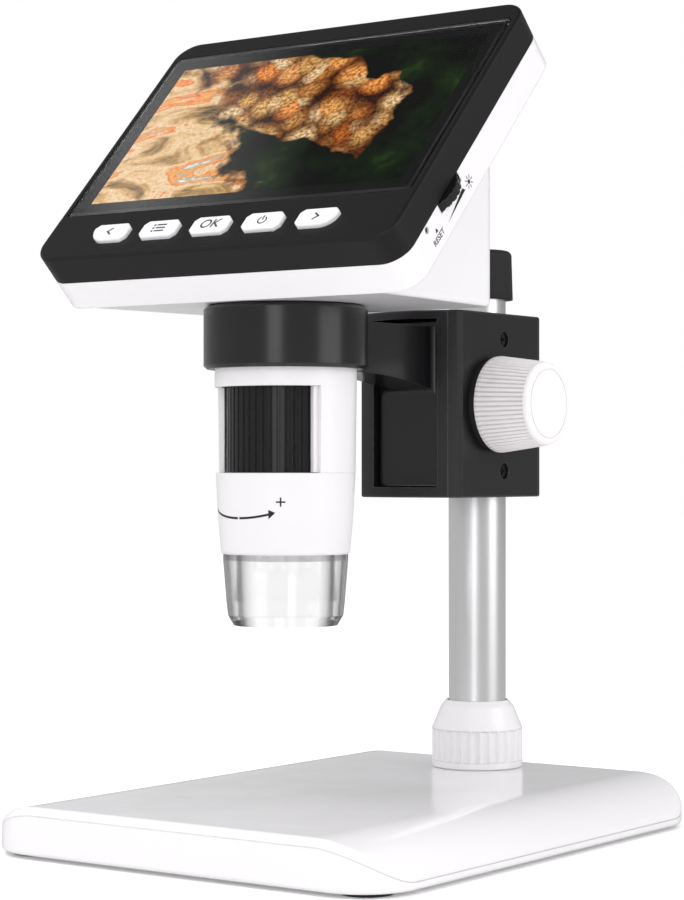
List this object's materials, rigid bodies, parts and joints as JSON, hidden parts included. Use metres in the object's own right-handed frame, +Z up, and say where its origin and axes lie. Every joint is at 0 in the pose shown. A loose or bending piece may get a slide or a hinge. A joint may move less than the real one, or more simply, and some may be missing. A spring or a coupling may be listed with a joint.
{
  "type": "digital microscope",
  "caption": "Digital microscope with a tilted colour screen, push keys, focus ring and clear light tip, on a rack-and-pinion carriage that slides and swivels on a post over a weighted base.",
  "frame": {"origin": "on the table, under the middle of the base", "axes": "+Z up, +Y away from the user who faces the screen, +X to the user's right"},
  "size_m": [0.121, 0.151, 0.2088],
  "materials": {
    "white_gloss": "gloss",
    "white_matt": "satin",
    "knob_white": "satin",
    "key_white": "satin",
    "black_satin": "satin",
    "black_rubber": "matt",
    "post_metal": "satin drawn",
    "steel": "plated",
    "brass": "machined",
    "nylon": "natural",
    "black_inner": "matt",
    "glass_dark": "polished",
    "clear": "polished",
    "board_green": "solder mask",
    "board_white": "matt",
    "panel": "polished",
    "battery_wrap": "film"
  },
  "bodies": {
    "base": {"base_shell": "white_gloss", "base_tray": "white_matt", "base_weight": "steel", "base_screws": "steel", "feet": "black_rubber", "post": "post_metal", "post_plug": "post_metal", "post_screw": "steel", "post_cap": "black_rubber", "post_collet": "nylon"},
    "nut": {"clamp_nut": "white_matt"},
    "bush": {"post_bush": "nylon"},
    "carriage": {"carriage_block": "black_satin", "carriage_cover": "black_satin", "carriage_screws": "steel"},
    "slider": {"holder_arm": "black_satin", "slider_rack": "nylon", "rack_screws": "steel"},
    "knob": {"focus_knob": "knob_white", "pinion_shaft": "steel", "pinion": "brass", "knob_washer": "black_rubber"},
    "liner": {"holder_liner": "black_rubber"},
    "head": {"front_bezel": "black_satin", "display_window": "glass_dark", "lcd_panel": "panel", "lcd_backlight": "board_white", "key_switches": "steel", "key_board": "board_green", "rear_housing": "white_gloss", "main_board": "board_green", "battery": "battery_wrap", "housing_screws": "steel", "dial_potentiometer": "black_inner", "reset_switch": "black_inner", "usb_socket": "steel", "card_socket": "steel", "barrel_shell": "white_matt", "barrel_shroud": "white_matt", "guide_tube": "black_inner", "sensor_board": "board_green", "image_sensor": "black_inner", "led_board": "board_white", "leds": "board_white", "clear_tip": "clear"},
    "dial": {"brightness_dial": "black_satin"},
    "reset": {"reset_button": "black_inner"},
    "focus": {"focus_ring": "black_satin"},
    "lens": {"lens_carrier": "nylon", "objective_lens": "clear"},
    "button_previous": {"key_previous": "key_white"},
    "button_menu": {"key_menu": "key_white"},
    "button_ok": {"key_ok": "key_white"},
    "button_power": {"key_power": "key_white"},
    "button_next": {"key_next": "key_white"}
  },
  "joints": [
    {"name": "nut_turn", "type": "hinge", "parent": "base", "child": "nut", "pos_m": [0, 0.0588, 0], "axis": [0, 0, 1], "range_deg": [0, 340]},
    {"name": "carriage_slide", "type": "slide", "parent": "base", "child": "bush", "axis": [0, 0, 1], "range_m": [-0.018, 0.0045]},
    {"name": "carriage_swivel", "type": "hinge", "parent": "bush", "child": "carriage", "pos_m": [0, 0.0588, 0], "axis": [0, 0, 1], "continuous": true},
    {"name": "slider_travel", "type": "slide", "parent": "carriage", "child": "slider", "axis": [0, 0, 1], "range_m": [-0.02, 0.001]},
    {"name": "knob_turn", "type": "hinge", "parent": "carriage", "child": "knob", "pos_m": [0, 0.0415, 0.1122], "axis": [1, 0, 0], "range_deg": [-10.4, 204.8]},
    {"name": "head_turn", "type": "hinge", "parent": "slider", "child": "liner", "pos_m": [0, -0.0291, 0], "axis": [0, 0, 1], "range_deg": [-40, 40]},
    {"name": "head_lift", "type": "slide", "parent": "liner", "child": "head", "axis": [0, 0, 1], "range_m": [0, 0.085]},
    {"name": "brightness_turn", "type": "hinge", "parent": "head", "child": "dial", "pos_m": [0.04784, -0.03811, 0.15898], "axis": [0, -0.7206, 0.6934], "range_deg": [-140, 140]},
    {"name": "reset_press", "type": "slide", "parent": "head", "child": "reset", "axis": [-1, 0, 0], "range_m": [0, 0.0004], "stiffness_N_per_m": 800, "springref_m": -0.0003},
    {"name": "focus_turn", "type": "hinge", "parent": "head", "child": "focus", "pos_m": [0, -0.0291, 0], "axis": [0, 0, 1], "range_deg": [-150.2, 150.2]},
    {"name": "lens_slide", "type": "slide", "parent": "head", "child": "lens", "axis": [0, 0, 1], "range_m": [-0.005, 0.005]},
    {"name": "previous_press", "type": "slide", "parent": "head", "child": "button_previous", "axis": [0, 0.7206, -0.6934], "range_m": [0, 0.0005], "stiffness_N_per_m": 2500, "springref_m": -0.0003},
    {"name": "menu_press", "type": "slide", "parent": "head", "child": "button_menu", "axis": [0, 0.7206, -0.6934], "range_m": [0, 0.0005], "stiffness_N_per_m": 2500, "springref_m": -0.0003},
    {"name": "ok_press", "type": "slide", "parent": "head", "child": "button_ok", "axis": [0, 0.7206, -0.6934], "range_m": [0, 0.0005], "stiffness_N_per_m": 2500, "springref_m": -0.0003},
    {"name": "power_press", "type": "slide", "parent": "head", "child": "button_power", "axis": [0, 0.7206, -0.6934], "range_m": [0, 0.0005], "stiffness_N_per_m": 2500, "springref_m": -0.0003},
    {"name": "next_press", "type": "slide", "parent": "head", "child": "button_next", "axis": [0, 0.7206, -0.6934], "range_m": [0, 0.0005], "stiffness_N_per_m": 2500, "springref_m": -0.0003}
  ],
  "couplings": [
    {"joint": "knob_turn", "follows": "slider_travel", "rad_per_m": -178.57},
    {"joint": "focus_turn", "follows": "lens_slide", "rad_per_m": 523.6}
  ]
}
